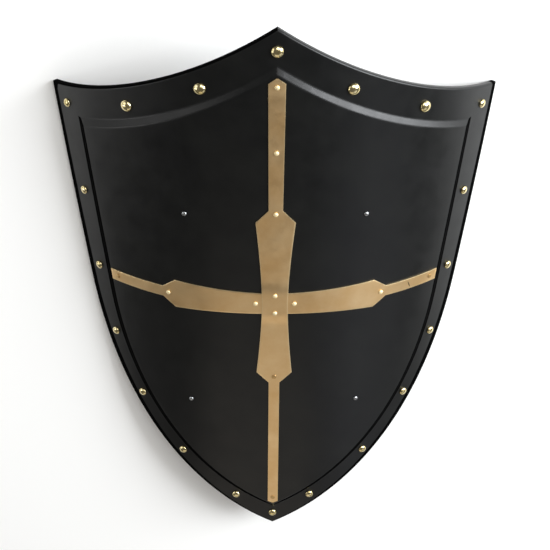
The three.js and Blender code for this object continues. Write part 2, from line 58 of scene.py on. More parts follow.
SMOOTH_BELOW = math.radians(38)

BEND_RADIUS = 331.0
SHEET_THICKNESS = 1.2
FIELD_RISE = 4.0
BEVEL_RUN = 7.0
FIELD_BACK = FIELD_RISE - SHEET_THICKNESS
BRASS_THICKNESS = 1.0
BRASS_SEAT = FIELD_RISE + FIT
BRASS_FACE = BRASS_SEAT + BRASS_THICKNESS
HUMP = BRASS_THICKNESS + FIT
HEAD_DOME = 4.6
FLANK_DOME = 3.3
DOME_INSIDE = 0.1


class Hand(Enum):
    """The two halves of the shield, seen from the front with the head up."""

    LEFT = -1
    RIGHT = 1

    @property
    def word(self) -> str:
        """The half's name in piece names."""
        return self.name.lower()


def bend(point: Vector) -> Vector:
    """Places a point of the flattened sheet, as arc, along and lift, on the bend.

    Args:
        point: Arc, along and lift.

    Returns:
        The point in the shield's own frame, in millimetres.
    """
    angle = point.x / BEND_RADIUS
    radius = BEND_RADIUS + point.z
    return Vector((radius * math.sin(angle), point.y, radius * math.cos(angle) - BEND_RADIUS))


def square_on(arc: float, along: float) -> Matrix:
    """Gives the place of a piece that stands square on the bent sheet.

    Args:
        arc: Distance round the bend from the middle line.
        along: Distance from the tip.

    Returns:
        The matrix that takes the piece there in the shield's own frame.
    """
    return Matrix.Translation(bend(Vector((arc, along, 0.0)))) @ Matrix.Rotation(arc / BEND_RADIUS, 4, "Y")


def linear(code: str) -> tuple[float, float, float, float]:
    """Turns an sRGB hex colour into linear red, green, blue and alpha."""
    parts = [int(code[i:i + 2], 16) / 255 for i in (1, 3, 5)]
    light = [c / 12.92 if c <= 0.04045 else ((c + 0.055) / 1.055) ** 2.4 for c in parts]
    return (light[0], light[1], light[2], 1.0)


def per_mm(size: float) -> float:
    """Gives the texture scale at which one pattern cell is that many millimetres."""
    return 1.0 / (size * MM)


def sweep(bm: bmesh.types.BMesh, start: bmesh.types.BMVert, centre: Vector, end: Vector,
          steps: int) -> bmesh.types.BMVert:
    """Turns a vertex about a centre into an arc of edges.

    Args:
        bm: The mesh.
        start: The vertex that the arc leaves.
        centre: The arc's centre, in the XY plane.
        end: The point that the arc reaches.
        steps: How many edges the arc has.

    Returns:
        The arc's last vertex, set exactly on the end.
    """
    angle = (end - centre).xy.angle_signed((start.co - centre).xy)
    turned = bmesh.ops.spin(bm, geom=[start], cent=centre, axis=(0, 0, 1), angle=angle, steps=steps)
    last = next(g for g in turned["geom_last"] if isinstance(g, bmesh.types.BMVert))
    last.co = end
    return last


def round_off(bm: bmesh.types.BMesh, edges: list[bmesh.types.BMEdge], size: float, segments: int) -> None:
    """Rounds a set of edges.

    Args:
        bm: The mesh.
        edges: The edges.
        size: How far the round reaches from each edge.
        segments: How many faces the round has.
    """
    bmesh.ops.bevel(bm, geom=edges, offset=size, offset_type="OFFSET", affect="EDGES", segments=segments,
                    profile=0.5, material=-1, clamp_overlap=True)


@dataclass(frozen=True)
class HalfOutline:
    """One half of a shield outline: a hollow head edge, a straight flank, a round to the tip."""

    peak: float
    corner: tuple[float, float]
    tip: float
    hollow: float
    lean: float
    flank_length: float
    head_steps: int = 24
    flank_steps: int = 8
    round_steps: int = 36

    @property
    def outward(self) -> Vector:
        """The way out of the flank, square to it."""
        lean = math.radians(self.lean)
        return Vector((math.cos(lean), -math.sin(lean), 0.0))

    @property
    def ends(self) -> tuple[Vector, Vector, Vector, Vector]:
        """The peak, the corner, the flank's lower end and the tip."""
        corner = Vector((*self.corner, 0.0))
        flank = Vector((self.outward.y, -self.outward.x, 0.0)) * self.flank_length
        return Vector((0.0, self.peak, 0.0)), corner, corner + flank, Vector((0.0, self.tip, 0.0))

    @property
    def head_round(self) -> tuple[Vector, float]:
        """The centre and radius of the hollow head edge."""
        peak, corner, _, _ = self.ends
        half = (corner - peak).length / 2
        radius = (half ** 2 + self.hollow ** 2) / (2 * self.hollow)
        upward = Vector((peak.y - corner.y, corner.x - peak.x, 0.0)).normalized()
        return (peak + corner) / 2 + upward * (radius - self.hollow), radius

    @property
    def tip_round(self) -> tuple[Vector, float]:
        """The centre and radius of the round between the flank and the tip."""
        _, _, flank_end, tip = self.ends
        run = tip - flank_end
        radius = run.length_squared / (-2 * run.dot(self.outward))
        return flank_end - self.outward * radius, radius

    def head_at(self, arc: float) -> float:
        """The head edge's place along the shield at an arc."""
        centre, radius = self.head_round
        return centre.y - math.sqrt(radius ** 2 - (arc - centre.x) ** 2)

    def side_at(self, along: float) -> float:
        """Finds the side's arc.

        Args:
            along: The place along the shield.

        Returns:
            The arc of the right side there.
        """
        _, corner, flank_end, _ = self.ends
        centre, radius = self.tip_round
        if along < flank_end.y:
            return centre.x + math.sqrt(radius ** 2 - (along - centre.y) ** 2)
        return flank_end.x + (corner.x - flank_end.x) * (along - flank_end.y) / (corner.y - flank_end.y)

    def inside(self, point: Vector) -> float:
        """Measures how far inside the outline's side a point is.

        Args:
            point: A point of the flattened sheet, on either half.

        Returns:
            The distance, square to the side.
        """
        centre, radius = self.tip_round
        if point.y < self.ends[2].y:
            return radius - (Vector((abs(point.x), point.y, 0.0)) - centre).length
        return (self.side_at(point.y) - abs(point.x)) * self.outward.x

    def halfway(self, other: "HalfOutline") -> "HalfOutline":
        """Draws the outline halfway between this one and another.

        Args:
            other: The other outline.

        Returns:
            The outline between them.
        """
        sizes = {name: (getattr(self, name) + getattr(other, name)) / 2
                 for name in ("peak", "tip", "hollow", "lean", "flank_length")}
        return replace(self, corner=tuple((a + b) / 2 for a, b in zip(self.corner, other.corner)), **sizes)

    def trace(self, bm: bmesh.types.BMesh) -> list[bmesh.types.BMEdge]:
        """Draws the whole outline as a ring of edges.

        Args:
            bm: The mesh to draw in.

        Returns:
            The ring's edges.
        """
        verts, edges = set(bm.verts), set(bm.edges)
        peak, corner, flank_end, tip = self.ends
        last = sweep(bm, bm.verts.new(peak), self.head_round[0], corner, self.head_steps)
        for step in range(1, self.flank_steps + 1):
            last = bmesh.ops.extrude_vert_indiv(bm, verts=[last])["verts"][0]
            last.co = corner.lerp(flank_end, step / self.flank_steps)
        sweep(bm, last, self.tip_round[0], tip, self.round_steps)
        half = [g for g in (*bm.verts, *bm.edges) if g not in verts and g not in edges]
        bmesh.ops.mirror(bm, geom=half, matrix=Matrix.Identity(4), merge_dist=MERGE, axis="X")
        return [e for e in bm.edges if e not in edges]


SHEET = HalfOutline(peak=711.0, corner=(296.0, 594.0), tip=0.0, hollow=16.5, lean=10.4, flank_length=252.0)
FIELD = HalfOutline(peak=661.0, corner=(238.5, 559.0), tip=39.0, hollow=11.5, lean=8.0, flank_length=220.0)
BEVEL_FOOT = HalfOutline(peak=669.39, corner=(246.33, 564.4), tip=31.02, hollow=12.38, lean=8.0,
                         flank_length=226.44)
BORDER_MIDDLE = SHEET.halfway(FIELD)


def resting_place() -> Matrix:
    """Finds how the shield lies in the frame, from two like rivets in line and the one at the peak.

    Returns:
        The matrix from the shield's own frame, in millimetres, to the row frame, in metres.
    """
    low, high = (sum(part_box(f"strap_rivet_{word}_left"), Vector()) / 2 for word in ("lower", "upper"))
    turn = Matrix.Rotation(math.atan2((high - low).z, (high - low).y), 4, "X")
    outward = turn @ Vector((0.0, 0.0, 1.0))
    points = [v.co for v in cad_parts["rim_rivet_peak"].data.vertices]
    apex = max(points, key=outward.dot)
    own = Vector((0.0, BORDER_MIDDLE.peak, FIT + HEAD_DOME)) * MM
    return Matrix.Translation(apex - turn @ own) @ turn @ Matrix.Scale(MM, 4)


class MaterialNodes:
    """Gathers the nodes of one material."""

    def __init__(self, name: str) -> None:
        """Starts an empty material with its shader and output.

        Args:
            name: The material's name.
        """
        self.material = bpy.data.materials.new(name)
        self.material.use_nodes = True
        self.tree = self.material.node_tree
        self.shader = self.tree.nodes["Principled BSDF"]
        self.place = self.add("ShaderNodeTexCoord").outputs["Object"]

    def add(self, kind: str, settings: dict | None = None, links: dict | None = None) -> bpy.types.Node:
        """Adds a node with its settings and links.

        Args:
            kind: The node's type.
            settings: Values of its properties.
            links: Its inputs by name or number, each a value or the socket that feeds it.

        Returns:
            The new node.
        """
        node = self.tree.nodes.new(kind)
        for name, value in (settings or {}).items():
            setattr(node, name, value)
        for name, value in (links or {}).items():
            self.feed(node.inputs[name], value)
        return node

    def feed(self, socket: bpy.types.NodeSocket, value: object) -> None:
        """Links a socket, or sets its value."""
        if isinstance(value, bpy.types.NodeSocket):
            self.tree.links.new(value, socket)
        else:
            socket.default_value = value

    def spread(self, value: bpy.types.NodeSocket, span: tuple = (0.0, 1.0),
               to: tuple = (0.0, 1.0)) -> bpy.types.NodeSocket:
        """Spreads a stretch of a value over another one.

        Args:
            value: The value's socket.
            span: The value's low and high end.
            to: What they become, each a number or the socket that feeds it.

        Returns:
            The new value's socket.
        """
        links = {"Value": value, "From Min": span[0], "From Max": span[1], "To Min": to[0], "To Max": to[1]}
        return self.add("ShaderNodeMapRange", links=links).outputs["Result"]

    def coats(self, first: str, *over: tuple[bpy.types.NodeSocket, str]) -> bpy.types.NodeSocket:
        """Lays colours over one another.

        Args:
            first: The lowest colour, as an sRGB hex code.
            over: What lies over it, from the lowest, each as its share and its colour.

        Returns:
            The colour's socket.
        """
        colour = linear(first)
        for share, code in over:
            mix = self.add("ShaderNodeMix", {"data_type": "RGBA"}, {0: share, 6: colour, 7: linear(code)})
            colour = mix.outputs[2]
        return colour

    def skin(self, *layers: tuple[bpy.types.NodeSocket, float]) -> bpy.types.NodeSocket:
        """Lays bumps of real depths over one another.

        Args:
            layers: The bumps from the lowest, each as its height from nought to one, and how many
                millimetres a height of one stands out.

        Returns:
            The bumped normal's socket.
        """
        under: dict[str, bpy.types.NodeSocket] = {}
        for height, depth in layers:
            links = {"Height": height, "Distance": depth * MM, "Strength": 1.0, **under}
            bump = self.add("ShaderNodeBump", links=links)
            under = {"Normal": bump.outputs["Normal"]}
        return under["Normal"]

    def finish(self, values: dict) -> bpy.types.Material:
        """Feeds the shader.

        Args:
            values: The shader's inputs by name, each a value or the socket that feeds it.

        Returns:
            The material.
        """
        for name, value in values.items():
            self.feed(self.shader.inputs[name], value)
        return self.material


def noise(nodes: MaterialNodes, size: float, detail: float = 3.0, low: float = 0.0, high: float = 1.0,
          rough: float = 0.5, stretch: tuple[float, float, float] = (1.0, 1.0, 1.0),
          span: tuple[float, float] = (0.3, 0.7)) -> bpy.types.NodeSocket:
    """Makes a cloudy value whose cells have a real size.

    Args:
        nodes: The material's nodes.
        size: The cell size in millimetres.
        detail: How many finer layers are added.
        low: The value at the pattern's low end.
        high: The value at its high end.
        rough: How strong the finer layers are.
        stretch: How many times finer the pattern is along each axis.
        span: The part of the noise's own range that is spread from low to high.

    Returns:
        The value's socket.
    """
    place = nodes.add("ShaderNodeMapping", links={"Vector": nodes.place, "Scale": stretch}).outputs["Vector"]
    cloud = nodes.add("ShaderNodeTexNoise", links={"Vector": place, "Scale": per_mm(size), "Detail": detail,
                                                   "Roughness": rough})
    return nodes.spread(cloud.outputs["Fac"], span, (low, high))


@dataclass(frozen=True)
class SatinBlackEnamel:
    """Sprayed and baked black enamel on pressed sheet steel.

    It looks like a soft black that the room dulls to grey where it turns away, with a faint orange-peel
    skin, slow waves from the press, and thin brownish dust in places. The step beside the field, the
    outermost edge of the flanks and the left half of the head edge carry painted shade: a near-black
    colour with no shine that stands in for the shade and dark reflections there.
    """

    deep: str = "#08090a"
    dusty: str = "#111211"
    # painted shade: the near-black colour laid on the step beside the field and on the outer edges
    painted_shade: str = "#020202"
    gloss: tuple[float, float] = (0.3, 0.4)
    painted_shade_gloss: float = 0.9
    shine: float = 0.31
    painted_shade_shine: float = 0.02
    dust_size: float = 60.0
    dust_most: float = 0.8
    gloss_size: float = 22.0
    peel_size: float = 1.6
    peel_depth: float = 0.006
    wave_size: float = 95.0
    wave_depth: float = 0.35
    painted_shade_step: float = 2.0
    painted_shade_edge: float = 9.2
    painted_shade_fade: float = 0.4

    def painted_shade_share(self, nodes: MaterialNodes) -> bpy.types.NodeSocket:
        """Makes the share of painted shade from the mesh's two distances.

        Args:
            nodes: The material's nodes.

        Returns:
            The share's socket.
        """
        shares = []
        for name, clear, painted_shade in (("step", -self.painted_shade_step - self.painted_shade_fade, -self.painted_shade_step),
                                 ("rim", self.painted_shade_edge + self.painted_shade_fade, self.painted_shade_edge)):
            distance = nodes.add("ShaderNodeAttribute", {"attribute_name": name}).outputs["Fac"]
            shares.append(nodes.spread(distance, (clear, painted_shade)))
        return nodes.add("ShaderNodeMath", {"operation": "MAXIMUM"}, {0: shares[0], 1: shares[1]}).outputs[0]

    def make(self) -> bpy.types.Material:
        """Builds the finish's material.

        Returns:
            The material.
        """
        nodes = MaterialNodes("black_enamel")
        # painted shade: near-black, shineless paint where the step and the edges fall into shade and reflect
        # dark
        painted_shade = self.painted_shade_share(nodes)
        dust = noise(nodes, self.dust_size, 5.0, high=self.dust_most, rough=0.6)
        gloss = noise(nodes, self.gloss_size, 6.0, *self.gloss, rough=0.6)
        skin = nodes.skin((noise(nodes, self.wave_size, 1.0), self.wave_depth),
                          (noise(nodes, self.peel_size, 2.0), self.peel_depth))
        return nodes.finish({"Base Color": nodes.coats(self.deep, (dust, self.dusty), (painted_shade, self.painted_shade)),
                             "Roughness": nodes.spread(painted_shade, to=(gloss, self.painted_shade_gloss)),
                             "Specular IOR Level": nodes.spread(painted_shade, to=(self.shine, self.painted_shade_shine)),
                             "Normal": skin, "IOR": 1.5})


@dataclass(frozen=True)
class SatinBrass:
    """Rolled brass strip, rubbed with fine cloth and left to dull.

    It looks like a warm tan gold with a wide soft sheen, rubbing lines along the strip, browner clouds
    where it has been handled and brighter metal on its cut edges. One short scratch crosses the right arm
    of the cross. The rubbing lines are drawn several times coarser than real ones, so that they show.
    """

    face: str = "#f3d4a2"
    handled: str = "#e6c088"
    bare: str = "#f6e2b4"
    gloss: tuple[float, float] = (0.36, 0.46)
    cloud_size: float = 38.0
    gloss_size: float = 14.0
    worn_span: tuple[float, float] = (0.3, 1.0)
    worn_most: float = 0.75
    line_size: float = 0.9
    line_draw: float = 0.05
    line_depth: float = 0.004
    wave_size: float = 40.0
    wave_depth: float = 0.12
    scratch: tuple[float, float] = (167.0, 367.2)
    scratch_size: tuple[float, float] = (0.7, 4.5)
    scratch_lean: float = 20.0
    scratch_fade: tuple[float, float] = (1.1, 0.7)
    scratch_most: float = 0.85
    scratch_face: str = "#4a3418"
    name: str = "satin_brass"

    def scratched(self, nodes: MaterialNodes) -> bpy.types.NodeSocket:
        """Makes the share of the scratch, a thin oval at its place on the lying shield.

        Args:
            nodes: The material's nodes.

        Returns:
            The share's socket.
        """
        middle = resting_place() @ bend(Vector((*self.scratch, BRASS_FACE)))
        across, lengthwise = (size * MM for size in self.scratch_size)
        oval = nodes.add("ShaderNodeMapping", {"vector_type": "TEXTURE"},
                         {"Vector": nodes.place, "Location": middle,
                          "Rotation": (0.0, 0.0, math.radians(self.scratch_lean)),
                          "Scale": (across, lengthwise, 1.0)})
        far = nodes.add("ShaderNodeVectorMath", {"operation": "LENGTH"}, {0: oval.outputs[0]})
        return nodes.spread(far.outputs["Value"], self.scratch_fade, (0.0, self.scratch_most))

    def make(self) -> bpy.types.Material:
        """Builds the finish's material.

        Returns:
            The material.
        """
        nodes = MaterialNodes(self.name)
        edge = nodes.add("ShaderNodeAttribute", {"attribute_name": "edge"}).outputs["Fac"]
        worn = nodes.spread(edge, self.worn_span, (0.0, self.worn_most))
        clouds = noise(nodes, self.cloud_size, 4.0, rough=0.6)
        colour = nodes.coats(self.face, (clouds, self.handled), (worn, self.bare),
                             (self.scratched(nodes), self.scratch_face))
        lines = noise(nodes, self.line_size, 2.0, stretch=(1.0, self.line_draw, 1.0))
        skin = nodes.skin((lines, self.line_depth), (noise(nodes, self.wave_size, 1.0), self.wave_depth))
        return nodes.finish({"Base Color": colour, "Metallic": 1.0, "Normal": skin,
                             "Roughness": noise(nodes, self.gloss_size, 5.0, *self.gloss, rough=0.6)})


@dataclass(frozen=True)
class CloudedFinish:
    """What the plain finishes share: two clouded tones, a clouded gloss and one fine bump.

    The clouds, the gloss clouds and the dents are each a cell size and how many finer layers it has.
    """

    name: str
    face: str
    dull: str
    gloss: tuple[float, float]
    metallic: float
    clouds: tuple[float, float]
    gloss_clouds: tuple[float, float]
    dents: tuple[float, float]
    dent_depth: float

    def make(self) -> bpy.types.Material:
        """Builds the finish's material.

        Returns:
            The material.
        """
        nodes = MaterialNodes(self.name)
        return nodes.finish({"Base Color": nodes.coats(self.face, (noise(nodes, *self.clouds), self.dull)),
                             "Metallic": self.metallic,
                             "Roughness": noise(nodes, *self.gloss_clouds, *self.gloss),
                             "Normal": nodes.skin((noise(nodes, *self.dents), self.dent_depth))})


@dataclass(frozen=True)
class PolishedBrass(CloudedFinish):
    """Stamped brass rivet heads with a bright polish.

    They look pale gold, with a sharp bright window of light and a dark olive underside.
    """

    name: str = "polished_brass"
    face: str = "#eee0b2"
    dull: str = "#d4c288"
    gloss: tuple[float, float] = (0.16, 0.22)
    metallic: float = 1.0
    clouds: tuple[float, float] = (6.0, 4.0)
    gloss_clouds: tuple[float, float] = (8.0, 2.0)
    dents: tuple[float, float] = (6.0, 1.0)
    dent_depth: float = 0.002


@dataclass(frozen=True)
class BrightSteel(CloudedFinish):
    """Zinc-bright steel rivets, set by hammer.

    They look like small neutral grey points with a broken shine.
    """

    name: str = "bright_steel"
    face: str = "#c3c6c8"
    dull: str = "#8f9193"
    gloss: tuple[float, float] = (0.22, 0.36)
    metallic: float = 1.0
    clouds: tuple[float, float] = (3.0, 4.0)
    gloss_clouds: tuple[float, float] = (2.0, 4.0)
    dents: tuple[float, float] = (1.2, 2.0)
    dent_depth: float = 0.02


@dataclass(frozen=True)
class WaxedThread(CloudedFinish):
    """Waxed linen thread, pale and a little fuzzy."""

    name: str = "waxed_thread"
    face: str = "#b9a27c"
    dull: str = "#8e7852"
    gloss: tuple[float, float] = (0.8, 0.8)
    metallic: float = 0.0
    clouds: tuple[float, float] = (2.0, 3.0)
    gloss_clouds: tuple[float, float] = (2.0, 3.0)
    dents: tuple[float, float] = (0.5, 1.0)
    dent_depth: float = 0.08


@dataclass(frozen=True)
class StrapLeather:
    """Vegetable-tanned cowhide, dyed dark brown and waxed.

    It looks like a warm dark brown with a pebbled grain, a dull wax sheen and lighter brown on its edges.
    """

    face: str = "#4d2f1c"
    dark: str = "#2b1a10"
    edge: str = "#7a5433"
    gloss: tuple[float, float] = (0.5, 0.68)
    cloud_size: float = 24.0
    gloss_size: float = 12.0
    grain_size: float = 1.4
    grain_depth: float = 0.09
    crease_size: float = 9.0
    crease_depth: float = 0.15

    def make(self) -> bpy.types.Material:
        """Builds the finish's material.

        Returns:
            The material.
        """
        nodes = MaterialNodes("strap_leather")
        worn = nodes.add("ShaderNodeAttribute", {"attribute_name": "edge"}).outputs["Fac"]
        clouds = noise(nodes, self.cloud_size, 5.0, rough=0.65)
        grain = nodes.add("ShaderNodeTexVoronoi", links={"Vector": nodes.place,
                                                         "Scale": per_mm(self.grain_size)})
        skin = nodes.skin((grain.outputs["Distance"], self.grain_depth),
                          (noise(nodes, self.crease_size, 4.0), self.crease_depth))
        return nodes.finish({"Base Color": nodes.coats(self.face, (clouds, self.dark), (worn, self.edge)),
                             "Roughness": noise(nodes, self.gloss_size, 4.0, *self.gloss), "Normal": skin})


@dataclass(frozen=True)
class PaleFloor:
    """A plain, matt, pale studio floor."""

    face: str = "#f9f9f7"
    gloss: float = 0.9

    def make(self) -> bpy.types.Material:
        """Builds the finish's material."""
        return MaterialNodes("pale_floor").finish({"Base Color": linear(self.face), "Roughness": self.gloss})


class Finish(Enum):
    """The finishes, each with the record's material slot."""

    ENAMEL = (SatinBlackEnamel(), "shield_paint")
    CROSS_BRASS = (SatinBrass(), "cross_brass")
    FLUSH_BRASS = (SatinBrass("#dab984", "#bc9760", "#dcba82", name="tarnished_brass"), "cross_brass")
    RIM_BRASS = (PolishedBrass(), "rim_brass")
    SMALL_BRASS = (PolishedBrass("small_polished_brass", "#f6e9c4", "#f0dfb4", (0.62, 0.72)), "cross_brass")
    STEEL = (BrightSteel(), "strap_rivet_steel")
    LEATHER = (StrapLeather(), "strap_leather")
    THREAD = (WaxedThread(), "strap_leather")


@dataclass
class Workshop:
    """Makes finished objects from meshes and keeps one material for each finish."""

    place: Matrix
    materials: dict[Finish, bpy.types.Material] = field(default_factory=dict)

    def material(self, finish: Finish) -> bpy.types.Material:
        """Gives a finish's material, made once."""
        if finish not in self.materials:
            self.materials[finish] = finish.value[0].make()
        return self.materials[finish]

    def hand_over(self, bm: bmesh.types.BMesh, name: str, finish: Finish,
                  *stands_for: str) -> bpy.types.Object:
        """Puts a mesh in the frame as one dressed piece.

        Args:
            bm: The mesh, in the shield's own frame.
            name: The piece's name.
            finish: Its finish.
            stands_for: The frame's nodes that it replaces.

        Returns:
            The piece.
        """
        bmesh.ops.transform(bm, matrix=self.place, verts=bm.verts)
        for face in bm.faces:
            face.smooth = True
        for edge in bm.edges:
            edge.smooth = edge.calc_face_angle(math.pi) < SMOOTH_BELOW
        mesh = bpy.data.meshes.new(name)
        bm.to_mesh(mesh)
        bm.free()
        piece = bpy.data.objects.new(name, mesh)
        bpy.context.scene.collection.objects.link(piece)
        mesh.materials.append(self.material(finish))
        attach(piece, "root")
        if stands_for:
            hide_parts(*stands_for)
        LOG.info("%s: %d faces", name, len(mesh.polygons))
        return piece


@dataclass(frozen=True)
class ShieldPlate:
    """The bent sheet: a flat border with its edge turned back, and a raised field."""

    crease: float = 1.5
    crease_least: float = 12.0
    support: float = 3.2
    edge_bend: float = 2.6
    edge_depth: float = 6.8
    strip: float = 7.4
    steep_arc: float = 210.0
    # widths that shift the painted shade bands at the field's step and the sheet's edge near the middle line
    middle_step_shade: float = 3.5
    middle_edge_shade: float = 7.4
    left_head_shade: float = 7.4

    def press(self) -> bmesh.types.BMesh:
        """Builds the front of the sheet while it is still flat.

        Returns:
            The open sheet, in arc, along and lift.
        """
        bm = bmesh.new()
        outer, foot = SHEET.trace(bm), BEVEL_FOOT.trace(bm)
        border = bmesh.ops.bridge_loops(bm, edges=outer + foot)["faces"]
        middle = bmesh.ops.contextual_create(bm, geom=foot)["faces"]
        bmesh.ops.recalc_face_normals(bm, faces=bm.faces)
        if middle[0].normal.z < 0:
            bmesh.ops.reverse_faces(bm, faces=bm.faces)
        for faces, run, rise in ((middle, BEVEL_RUN, FIELD_RISE), (middle, self.support, 0.0),
                                 (border, self.support, 0.0)):
            bmesh.ops.inset_region(bm, faces=faces, thickness=run, depth=rise, use_even_offset=True,
                                   use_boundary=True)
        least = math.radians(self.crease_least)
        creases = [e for e in bm.edges if len(e.link_faces) == 2 and e.calc_face_angle() > least]
        round_off(bm, creases, self.crease, 3)
        rim = [e for e in bm.edges if e.is_boundary]
        turned = bmesh.ops.extrude_edge_only(bm, edges=rim)["geom"]
        lip = [g for g in turned if isinstance(g, bmesh.types.BMVert)]
        bmesh.ops.translate(bm, verts=lip, vec=(0.0, 0.0, -self.edge_depth))
        round_off(bm, rim, self.edge_bend, 5)
        # distances that place the painted shade: beside the field's step and along the sheet's outer edge,
        # changed with the distance from the middle line
        step, rim_shade_layer = bm.verts.layers.float.new("step"), bm.verts.layers.float.new("rim")
        for vert in bm.verts:
            out = -FIELD.inside(vert.co)
            above = vert.co.y - FIELD.head_at(abs(vert.co.x))
            level = 1 - min(abs(vert.co.x) / self.steep_arc, 1.0)
            vert[step] = min(BEVEL_FOOT.inside(vert.co), out, out - above) - self.middle_step_shade * level
            vert[rim_shade_layer] = SHEET.inside(vert.co) + self.middle_edge_shade * level
            # the left half of the head edge gets painted shade as well
            if vert.co.x < MERGE:
                below_head = SHEET.head_at(abs(vert.co.x)) - vert.co.y
                vert[rim_shade_layer] = min(vert[rim_shade_layer], below_head + self.left_head_shade)
        return bm

    def build(self, shop: Workshop) -> bpy.types.Object:
        """Presses, bends and thickens the sheet.

        Args:
            shop: Where finished pieces are made.

        Returns:
            The piece.
        """
        bm = self.press()
        half = round(SHEET.corner[0] / self.strip)
        for step in range(-half, half + 1):
            whole = (*bm.verts, *bm.edges, *bm.faces)
            bmesh.ops.bisect_plane(bm, geom=whole, dist=SNAP, plane_co=(step * self.strip, 0.0, 0.0),
                                   plane_no=(1.0, 0.0, 0.0))
        for vert in bm.verts:
            vert.co = bend(vert.co)
        bmesh.ops.solidify(bm, geom=bm.faces[:], thickness=SHEET_THICKNESS)
        return shop.hand_over(bm, "pressed_sheet", Finish.ENAMEL, "shield_plate")


@dataclass(frozen=True)
class Rivet:
    """A rivet turned about its own axis: a domed head, a shank, and a flat tail behind."""

    head: float
    dome: float
    seat: float
    grip: float
    tail: float
    finish: Finish
    shank: float = 2.6
    tail_thickness: float = 1.2
    lip: float = 0.35
    sides: int = 28
    dome_steps: int = 8
    tail_straight: float = 0.6
    tail_chamfer: float = 0.5

    def build(self, shop: Workshop, name: str, arc: float, along: float) -> bpy.types.Object:
        """Turns the rivet and sets it square on the sheet.

        Args:
            shop: Where finished pieces are made.
            name: The frame's node that it replaces.
            arc: Its distance round the bend from the middle line.
            along: Its distance from the tip.

        Returns:
            The piece.
        """
        bm = bmesh.new()
        rise = self.dome - self.lip
        radius = self.head / 2
        first = bm.verts.new((radius, 0.0, 0.0))
        bmesh.ops.spin(bm, geom=[first], cent=(0, 0, 0), axis=(0, 1, 0), angle=-math.pi / 2,
                       steps=self.dome_steps)
        bmesh.ops.scale(bm, vec=(1.0, 1.0, rise / radius), verts=bm.verts)
        bmesh.ops.translate(bm, verts=bm.verts, vec=(0.0, 0.0, self.seat + FIT + self.lip))
        bottom = self.seat - self.grip - FIT
        last = first
        for reach, height in ((radius, self.seat + FIT), (self.shank / 2, self.seat + FIT),
                              (self.shank / 2, bottom), (self.tail / 2, bottom),
                              (self.tail / 2, bottom - self.tail_thickness * self.tail_straight),
                              (self.tail / 2 - self.tail_chamfer, bottom - self.tail_thickness),
                              (0.0, bottom - self.tail_thickness)):
            last = bmesh.ops.extrude_vert_indiv(bm, verts=[last])["verts"][0]
            last.co = Vector((reach, 0.0, height))
        bmesh.ops.spin(bm, geom=(*bm.verts, *bm.edges), cent=(0, 0, 0), axis=(0, 0, 1), angle=2 * math.pi,
                       steps=self.sides, use_merge=True)
        bmesh.ops.remove_doubles(bm, verts=bm.verts, dist=MERGE)
        bmesh.ops.recalc_face_normals(bm, faces=bm.faces)
        bmesh.ops.transform(bm, matrix=square_on(arc, along), verts=bm.verts)
        return shop.hand_over(bm, f"turned_{name}", self.finish, name)


HEAD_RIVET = Rivet(head=14.0, dome=HEAD_DOME - DOME_INSIDE, seat=0.0, grip=SHEET_THICKNESS, tail=7.0,
                   finish=Finish.RIM_BRASS, shank=4.0)
FLANK_RIVET = replace(HEAD_RIVET, head=10.5, dome=FLANK_DOME - DOME_INSIDE)
CROSS_RIVET = Rivet(head=5.8, dome=2.0, seat=BRASS_FACE, grip=BRASS_FACE - FIELD_BACK, tail=7.0,
                    finish=Finish.SMALL_BRASS, lip=0.2, sides=20, dome_steps=6)


@dataclass(frozen=True)
class Row:
    """One row across a brass strip, as its two ends and how far it rides up over what is beneath."""

    left: Vector
    right: Vector
    hump: float = 0.0


@dataclass(frozen=True)
class BrassStrip:
    """What the two strips of the cross share: a waisted blade with a narrower strap at each end."""

    crossing: float = 367.7
    end_gap: float = 3.5
    neck: float = 16.0
    swell: float = 1.6
    step: float = 4.0
    columns: tuple[float, ...] = (0.0, 0.06, 0.3, 0.5, 0.7, 0.94, 1.0)
    edge_round: float = 0.35

    def blade(self, distance: float, reach: float, waist: float, shoulder: float) -> float:
        """Half the blade's width at a distance from its waist."""
        return (waist + (shoulder - waist) * (distance / reach) ** self.swell) / 2

    def lay(self, shop: Workshop, rows: list[Row], name: str, node: str) -> bpy.types.Object:
        """Cuts a strip, rounds its edges and lays it on the field.

        Args:
            shop: Where finished pieces are made.
            rows: The strip's rows, from one end to the other.
            name: The piece's name.
            node: The frame's node that it replaces.

        Returns:
            The piece.
        """
        bm = bmesh.new()
        across, lengthwise = len(self.columns) - 1, len(rows) - 1
        bmesh.ops.create_grid(bm, x_segments=across, y_segments=lengthwise, size=1.0)
        edge = bm.verts.layers.float.new("edge")
        for vert in bm.verts:
            column = round((vert.co.x + 1) / 2 * across)
            row = rows[round((vert.co.y + 1) / 2 * lengthwise)]
            vert[edge] = float(column in (0, across))
            vert.co = row.left.lerp(row.right, self.columns[column])
            vert.co.z = row.hump
        grown = bmesh.ops.extrude_face_region(bm, geom=bm.faces[:])["geom"]
        top = {g for g in grown if isinstance(g, bmesh.types.BMFace)}
        bmesh.ops.translate(bm, verts=[g for g in grown if isinstance(g, bmesh.types.BMVert)],
                            vec=(0.0, 0.0, BRASS_THICKNESS))
        bmesh.ops.recalc_face_normals(bm, faces=bm.faces)
        sides = [e for e in bm.edges if len(top.intersection(e.link_faces)) == 1]
        round_off(bm, sides, self.edge_round, 2)
        for vert in bm.verts:
            vert.co = bend(vert.co + Vector((0.0, 0.0, BRASS_SEAT)))
        return shop.hand_over(bm, name, Finish.CROSS_BRASS, node)


